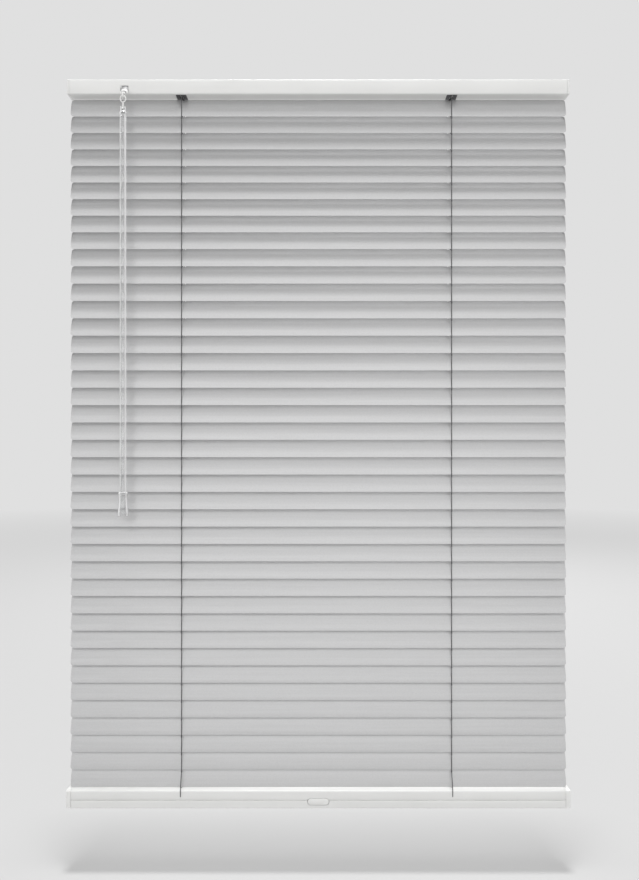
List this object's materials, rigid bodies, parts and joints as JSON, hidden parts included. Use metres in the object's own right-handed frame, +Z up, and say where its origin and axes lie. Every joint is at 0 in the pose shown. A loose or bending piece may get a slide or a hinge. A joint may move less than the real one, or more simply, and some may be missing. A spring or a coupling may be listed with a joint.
{
  "type": "venetian blind",
  "caption": "Lowered aluminium venetian blind: headrail with wand tilter, closed horizontal slats on ladder strings, and a level bottom rail.",
  "frame": {"origin": "centre of the headrail's back face, the face against the window frame", "axes": "+X to the right seen from the room, -Y into the room, +Z up"},
  "size_m": [0.6426, 0.0423, 0.9287],
  "materials": {
    "white_painted_steel": "satin off-white baked enamel",
    "white_plastic": "moulded, slightly glossy",
    "grey_plastic": "moulded, matte",
    "zinc_steel": "zinc plated",
    "clear_acrylic": "clear, polished",
    "grey_aluminium": "satin light-grey coil coating with a fine grain",
    "grey_string": "braided polyester"
  },
  "bodies": {
    "headrail": {"headrail": "white_painted_steel", "headrail_cap_left": "white_plastic", "headrail_cap_right": "white_plastic", "tilter_housing": "grey_plastic", "drum_cradle_left": "grey_plastic", "drum_cradle_right": "grey_plastic", "bottom_rail": "white_painted_steel", "bottom_rail_cap_left": "white_plastic", "bottom_rail_cap_right": "white_plastic"},
    "tilt_shaft": {"tilt_rod": "zinc_steel", "ladder_drum_left": "white_plastic", "ladder_drum_right": "white_plastic", "tilter_gear": "white_plastic"},
    "tilter_worm": {"tilter_worm": "white_plastic"},
    "wand_hook": {"wand_hook": "white_plastic"},
    "wand": {"wand": "clear_acrylic"},
    "ladder_front": {"ladder_front_left": "grey_string", "ladder_front_right": "grey_string"},
    "ladder_rear": {"ladder_rear_left": "grey_string", "ladder_rear_right": "grey_string"},
    "slat_01": {"slat_01": "grey_aluminium"},
    "slat_02": {"slat_02": "grey_aluminium"},
    "slat_03": {"slat_03": "grey_aluminium"},
    "slat_04": {"slat_04": "grey_aluminium"},
    "slat_05": {"slat_05": "grey_aluminium"},
    "slat_06": {"slat_06": "grey_aluminium"},
    "slat_07": {"slat_07": "grey_aluminium"},
    "slat_08": {"slat_08": "grey_aluminium"},
    "slat_09": {"slat_09": "grey_aluminium"},
    "slat_10": {"slat_10": "grey_aluminium"},
    "slat_11": {"slat_11": "grey_aluminium"},
    "slat_12": {"slat_12": "grey_aluminium"},
    "slat_13": {"slat_13": "grey_aluminium"},
    "slat_14": {"slat_14": "grey_aluminium"},
    "slat_15": {"slat_15": "grey_aluminium"},
    "slat_16": {"slat_16": "grey_aluminium"},
    "slat_17": {"slat_17": "grey_aluminium"},
    "slat_18": {"slat_18": "grey_aluminium"},
    "slat_19": {"slat_19": "grey_aluminium"},
    "slat_20": {"slat_20": "grey_aluminium"},
    "slat_21": {"slat_21": "grey_aluminium"},
    "slat_22": {"slat_22": "grey_aluminium"},
    "slat_23": {"slat_23": "grey_aluminium"},
    "slat_24": {"slat_24": "grey_aluminium"},
    "slat_25": {"slat_25": "grey_aluminium"},
    "slat_26": {"slat_26": "grey_aluminium"},
    "slat_27": {"slat_27": "grey_aluminium"},
    "slat_28": {"slat_28": "grey_aluminium"},
    "slat_29": {"slat_29": "grey_aluminium"},
    "slat_30": {"slat_30": "grey_aluminium"},
    "slat_31": {"slat_31": "grey_aluminium"},
    "slat_32": {"slat_32": "grey_aluminium"},
    "slat_33": {"slat_33": "grey_aluminium"},
    "slat_34": {"slat_34": "grey_aluminium"},
    "slat_35": {"slat_35": "grey_aluminium"},
    "slat_36": {"slat_36": "grey_aluminium"},
    "slat_37": {"slat_37": "grey_aluminium"},
    "slat_38": {"slat_38": "grey_aluminium"},
    "slat_39": {"slat_39": "grey_aluminium"},
    "slat_40": {"slat_40": "grey_aluminium"}
  },
  "joints": [
    {"name": "tilt", "type": "hinge", "parent": "headrail", "child": "tilt_shaft", "pos_m": [0, -0.0125, 0.00066], "axis": [-1, 0, 0], "range_deg": [0, 144]},
    {"name": "worm_spin", "type": "hinge", "parent": "headrail", "child": "tilter_worm", "pos_m": [-0.246, -0.01756, 0.0049], "axis": [0, -0.6428, -0.766], "range_deg": [-10, 1450]},
    {"name": "wand_twist", "type": "hinge", "parent": "headrail", "child": "wand_hook", "pos_m": [-0.246, -0.036, -0.0171], "axis": [0, 0, -1], "range_deg": [-10, 1450]},
    {"name": "wand_swing", "type": "hinge", "parent": "wand_hook", "child": "wand", "pos_m": [-0.246, -0.036, -0.0326], "axis": [-1, 0, 0], "range_deg": [0, 60]},
    {"name": "slat_01_tilt", "type": "hinge", "parent": "headrail", "child": "slat_01", "pos_m": [0, -0.0125, -0.0225], "axis": [-1, 0, 0], "range_deg": [-2, 146]},
    {"name": "slat_02_tilt", "type": "hinge", "parent": "headrail", "child": "slat_02", "pos_m": [0, -0.0125, -0.0438], "axis": [-1, 0, 0], "range_deg": [-2, 146]},
    {"name": "slat_03_tilt", "type": "hinge", "parent": "headrail", "child": "slat_03", "pos_m": [0, -0.0125, -0.0651], "axis": [-1, 0, 0], "range_deg": [-2, 146]},
    {"name": "slat_04_tilt", "type": "hinge", "parent": "headrail", "child": "slat_04", "pos_m": [0, -0.0125, -0.0864], "axis": [-1, 0, 0], "range_deg": [-2, 146]},
    {"name": "slat_05_tilt", "type": "hinge", "parent": "headrail", "child": "slat_05", "pos_m": [0, -0.0125, -0.1077], "axis": [-1, 0, 0], "range_deg": [-2, 146]},
    {"name": "slat_06_tilt", "type": "hinge", "parent": "headrail", "child": "slat_06", "pos_m": [0, -0.0125, -0.129], "axis": [-1, 0, 0], "range_deg": [-2, 146]},
    {"name": "slat_07_tilt", "type": "hinge", "parent": "headrail", "child": "slat_07", "pos_m": [0, -0.0125, -0.1503], "axis": [-1, 0, 0], "range_deg": [-2, 146]},
    {"name": "slat_08_tilt", "type": "hinge", "parent": "headrail", "child": "slat_08", "pos_m": [0, -0.0125, -0.1716], "axis": [-1, 0, 0], "range_deg": [-2, 146]},
    {"name": "slat_09_tilt", "type": "hinge", "parent": "headrail", "child": "slat_09", "pos_m": [0, -0.0125, -0.1929], "axis": [-1, 0, 0], "range_deg": [-2, 146]},
    {"name": "slat_10_tilt", "type": "hinge", "parent": "headrail", "child": "slat_10", "pos_m": [0, -0.0125, -0.21517], "axis": [-1, 0, 0], "range_deg": [-2, 146]},
    {"name": "slat_11_tilt", "type": "hinge", "parent": "headrail", "child": "slat_11", "pos_m": [0, -0.0125, -0.23744], "axis": [-1, 0, 0], "range_deg": [-2, 146]},
    {"name": "slat_12_tilt", "type": "hinge", "parent": "headrail", "child": "slat_12", "pos_m": [0, -0.0125, -0.25971], "axis": [-1, 0, 0], "range_deg": [-2, 146]},
    {"name": "slat_13_tilt", "type": "hinge", "parent": "headrail", "child": "slat_13", "pos_m": [0, -0.0125, -0.28198], "axis": [-1, 0, 0], "range_deg": [-2, 146]},
    {"name": "slat_14_tilt", "type": "hinge", "parent": "headrail", "child": "slat_14", "pos_m": [0, -0.0125, -0.30425], "axis": [-1, 0, 0], "range_deg": [-2, 146]},
    {"name": "slat_15_tilt", "type": "hinge", "parent": "headrail", "child": "slat_15", "pos_m": [0, -0.0125, -0.32652], "axis": [-1, 0, 0], "range_deg": [-2, 146]},
    {"name": "slat_16_tilt", "type": "hinge", "parent": "headrail", "child": "slat_16", "pos_m": [0, -0.0125, -0.34879], "axis": [-1, 0, 0], "range_deg": [-2, 146]},
    {"name": "slat_17_tilt", "type": "hinge", "parent": "headrail", "child": "slat_17", "pos_m": [0, -0.0125, -0.37106], "axis": [-1, 0, 0], "range_deg": [-2, 146]},
    {"name": "slat_18_tilt", "type": "hinge", "parent": "headrail", "child": "slat_18", "pos_m": [0, -0.0125, -0.39333], "axis": [-1, 0, 0], "range_deg": [-2, 146]},
    {"name": "slat_19_tilt", "type": "hinge", "parent": "headrail", "child": "slat_19", "pos_m": [0, -0.0125, -0.4156], "axis": [-1, 0, 0], "range_deg": [-2, 146]},
    {"name": "slat_20_tilt", "type": "hinge", "parent": "headrail", "child": "slat_20", "pos_m": [0, -0.0125, -0.43787], "axis": [-1, 0, 0], "range_deg": [-2, 146]},
    {"name": "slat_21_tilt", "type": "hinge", "parent": "headrail", "child": "slat_21", "pos_m": [0, -0.0125, -0.46014], "axis": [-1, 0, 0], "range_deg": [-2, 146]},
    {"name": "slat_22_tilt", "type": "hinge", "parent": "headrail", "child": "slat_22", "pos_m": [0, -0.0125, -0.48241], "axis": [-1, 0, 0], "range_deg": [-2, 146]},
    {"name": "slat_23_tilt", "type": "hinge", "parent": "headrail", "child": "slat_23", "pos_m": [0, -0.0125, -0.50468], "axis": [-1, 0, 0], "range_deg": [-2, 146]},
    {"name": "slat_24_tilt", "type": "hinge", "parent": "headrail", "child": "slat_24", "pos_m": [0, -0.0125, -0.52695], "axis": [-1, 0, 0], "range_deg": [-2, 146]},
    {"name": "slat_25_tilt", "type": "hinge", "parent": "headrail", "child": "slat_25", "pos_m": [0, -0.0125, -0.54922], "axis": [-1, 0, 0], "range_deg": [-2, 146]},
    {"name": "slat_26_tilt", "type": "hinge", "parent": "headrail", "child": "slat_26", "pos_m": [0, -0.0125, -0.57149], "axis": [-1, 0, 0], "range_deg": [-2, 146]},
    {"name": "slat_27_tilt", "type": "hinge", "parent": "headrail", "child": "slat_27", "pos_m": [0, -0.0125, -0.59376], "axis": [-1, 0, 0], "range_deg": [-2, 146]},
    {"name": "slat_28_tilt", "type": "hinge", "parent": "headrail", "child": "slat_28", "pos_m": [0, -0.0125, -0.61603], "axis": [-1, 0, 0], "range_deg": [-2, 146]},
    {"name": "slat_29_tilt", "type": "hinge", "parent": "headrail", "child": "slat_29", "pos_m": [0, -0.0125, -0.6383], "axis": [-1, 0, 0], "range_deg": [-2, 146]},
    {"name": "slat_30_tilt", "type": "hinge", "parent": "headrail", "child": "slat_30", "pos_m": [0, -0.0125, -0.66057], "axis": [-1, 0, 0], "range_deg": [-2, 146]},
    {"name": "slat_31_tilt", "type": "hinge", "parent": "headrail", "child": "slat_31", "pos_m": [0, -0.0125, -0.68284], "axis": [-1, 0, 0], "range_deg": [-2, 146]},
    {"name": "slat_32_tilt", "type": "hinge", "parent": "headrail", "child": "slat_32", "pos_m": [0, -0.0125, -0.70511], "axis": [-1, 0, 0], "range_deg": [-2, 146]},
    {"name": "slat_33_tilt", "type": "hinge", "parent": "headrail", "child": "slat_33", "pos_m": [0, -0.0125, -0.72738], "axis": [-1, 0, 0], "range_deg": [-2, 146]},
    {"name": "slat_34_tilt", "type": "hinge", "parent": "headrail", "child": "slat_34", "pos_m": [0, -0.0125, -0.74965], "axis": [-1, 0, 0], "range_deg": [-2, 146]},
    {"name": "slat_35_tilt", "type": "hinge", "parent": "headrail", "child": "slat_35", "pos_m": [0, -0.0125, -0.77192], "axis": [-1, 0, 0], "range_deg": [-2, 146]},
    {"name": "slat_36_tilt", "type": "hinge", "parent": "headrail", "child": "slat_36", "pos_m": [0, -0.0125, -0.79419], "axis": [-1, 0, 0], "range_deg": [-2, 146]},
    {"name": "slat_37_tilt", "type": "hinge", "parent": "headrail", "child": "slat_37", "pos_m": [0, -0.0125, -0.81646], "axis": [-1, 0, 0], "range_deg": [-2, 146]},
    {"name": "slat_38_tilt", "type": "hinge", "parent": "headrail", "child": "slat_38", "pos_m": [0, -0.0125, -0.83873], "axis": [-1, 0, 0], "range_deg": [-2, 146]},
    {"name": "slat_39_tilt", "type": "hinge", "parent": "headrail", "child": "slat_39", "pos_m": [0, -0.0125, -0.861], "axis": [-1, 0, 0], "range_deg": [-2, 146]},
    {"name": "slat_40_tilt", "type": "hinge", "parent": "headrail", "child": "slat_40", "pos_m": [0, -0.0125, -0.88327], "axis": [-1, 0, 0], "range_deg": [-2, 146]},
    {"name": "ladder_front_follow", "type": "hinge", "parent": "slat_20", "child": "ladder_front", "pos_m": [0, -0.01706, -0.4519], "axis": [-1, 0, 0], "range_deg": [-146, 2]},
    {"name": "ladder_rear_follow", "type": "hinge", "parent": "slat_20", "child": "ladder_rear", "pos_m": [0, -0.00794, -0.42384], "axis": [-1, 0, 0], "range_deg": [-146, 2]}
  ],
  "couplings": [
    {"joint": "worm_spin", "follows": "tilt", "ratio": 10},
    {"joint": "wand_twist", "follows": "tilt", "ratio": 10},
    {"joint": "slat_01_tilt", "follows": "tilt", "ratio": 1},
    {"joint": "slat_02_tilt", "follows": "tilt", "ratio": 1},
    {"joint": "slat_03_tilt", "follows": "tilt", "ratio": 1},
    {"joint": "slat_04_tilt", "follows": "tilt", "ratio": 1},
    {"joint": "slat_05_tilt", "follows": "tilt", "ratio": 1},
    {"joint": "slat_06_tilt", "follows": "tilt", "ratio": 1},
    {"joint": "slat_07_tilt", "follows": "tilt", "ratio": 1},
    {"joint": "slat_08_tilt", "follows": "tilt", "ratio": 1},
    {"joint": "slat_09_tilt", "follows": "tilt", "ratio": 1},
    {"joint": "slat_10_tilt", "follows": "tilt", "ratio": 1},
    {"joint": "slat_11_tilt", "follows": "tilt", "ratio": 1},
    {"joint": "slat_12_tilt", "follows": "tilt", "ratio": 1},
    {"joint": "slat_13_tilt", "follows": "tilt", "ratio": 1},
    {"joint": "slat_14_tilt", "follows": "tilt", "ratio": 1},
    {"joint": "slat_15_tilt", "follows": "tilt", "ratio": 1},
    {"joint": "slat_16_tilt", "follows": "tilt", "ratio": 1},
    {"joint": "slat_17_tilt", "follows": "tilt", "ratio": 1},
    {"joint": "slat_18_tilt", "follows": "tilt", "ratio": 1},
    {"joint": "slat_19_tilt", "follows": "tilt", "ratio": 1},
    {"joint": "slat_20_tilt", "follows": "tilt", "ratio": 1},
    {"joint": "slat_21_tilt", "follows": "tilt", "ratio": 1},
    {"joint": "slat_22_tilt", "follows": "tilt", "ratio": 1},
    {"joint": "slat_23_tilt", "follows": "tilt", "ratio": 1},
    {"joint": "slat_24_tilt", "follows": "tilt", "ratio": 1},
    {"joint": "slat_25_tilt", "follows": "tilt", "ratio": 1},
    {"joint": "slat_26_tilt", "follows": "tilt", "ratio": 1},
    {"joint": "slat_27_tilt", "follows": "tilt", "ratio": 1},
    {"joint": "slat_28_tilt", "follows": "tilt", "ratio": 1},
    {"joint": "slat_29_tilt", "follows": "tilt", "ratio": 1},
    {"joint": "slat_30_tilt", "follows": "tilt", "ratio": 1},
    {"joint": "slat_31_tilt", "follows": "tilt", "ratio": 1},
    {"joint": "slat_32_tilt", "follows": "tilt", "ratio": 1},
    {"joint": "slat_33_tilt", "follows": "tilt", "ratio": 1},
    {"joint": "slat_34_tilt", "follows": "tilt", "ratio": 1},
    {"joint": "slat_35_tilt", "follows": "tilt", "ratio": 1},
    {"joint": "slat_36_tilt", "follows": "tilt", "ratio": 1},
    {"joint": "slat_37_tilt", "follows": "tilt", "ratio": 1},
    {"joint": "slat_38_tilt", "follows": "tilt", "ratio": 1},
    {"joint": "slat_39_tilt", "follows": "tilt", "ratio": 1},
    {"joint": "slat_40_tilt", "follows": "tilt", "ratio": 1},
    {"joint": "ladder_front_follow", "follows": "tilt", "ratio": -1},
    {"joint": "ladder_rear_follow", "follows": "tilt", "ratio": -1}
  ]
}
